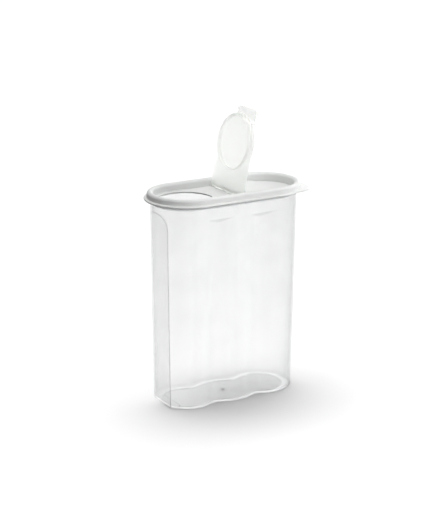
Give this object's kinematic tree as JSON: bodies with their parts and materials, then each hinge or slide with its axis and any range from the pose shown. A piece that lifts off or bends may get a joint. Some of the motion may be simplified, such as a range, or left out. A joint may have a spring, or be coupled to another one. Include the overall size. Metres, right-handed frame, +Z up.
{
  "type": "cereal container with flip spout",
  "caption": "Tall translucent dry-food container with fluted sides, a press-on white lid and a hinged flip cap that plugs a round pour opening.",
  "frame": {"origin": "middle of the overall length, pull tab included, on the surface that the foot ring stands on", "axes": "+Z up; +X towards the pull tab, so the pour opening is at -X; +Y across the width"},
  "size_m": [0.1988, 0.0918, 0.3236],
  "materials": {
    "tub": "clear natural polypropylene with a faint frost, smooth moulded",
    "lid": "white low-density polyethylene, satin",
    "flip_cap": "natural polypropylene, milky and semi-clear, satin"
  },
  "bodies": {
    "container": {"tub": "tub"},
    "lid": {"lid": "lid"},
    "flip_cap": {"flip_cap": "flip_cap"}
  },
  "joints": [
    {"name": "lid_lift", "type": "slide", "parent": "container", "child": "lid", "axis": [0, 0, 1], "range_m": [0, 0.03]},
    {"name": "cap_flip", "type": "hinge", "parent": "lid", "child": "flip_cap", "pos_m": [-0.00015, 0, 0.2333], "axis": [0, 1, 0], "range_deg": [-101, 58]}
  ]
}
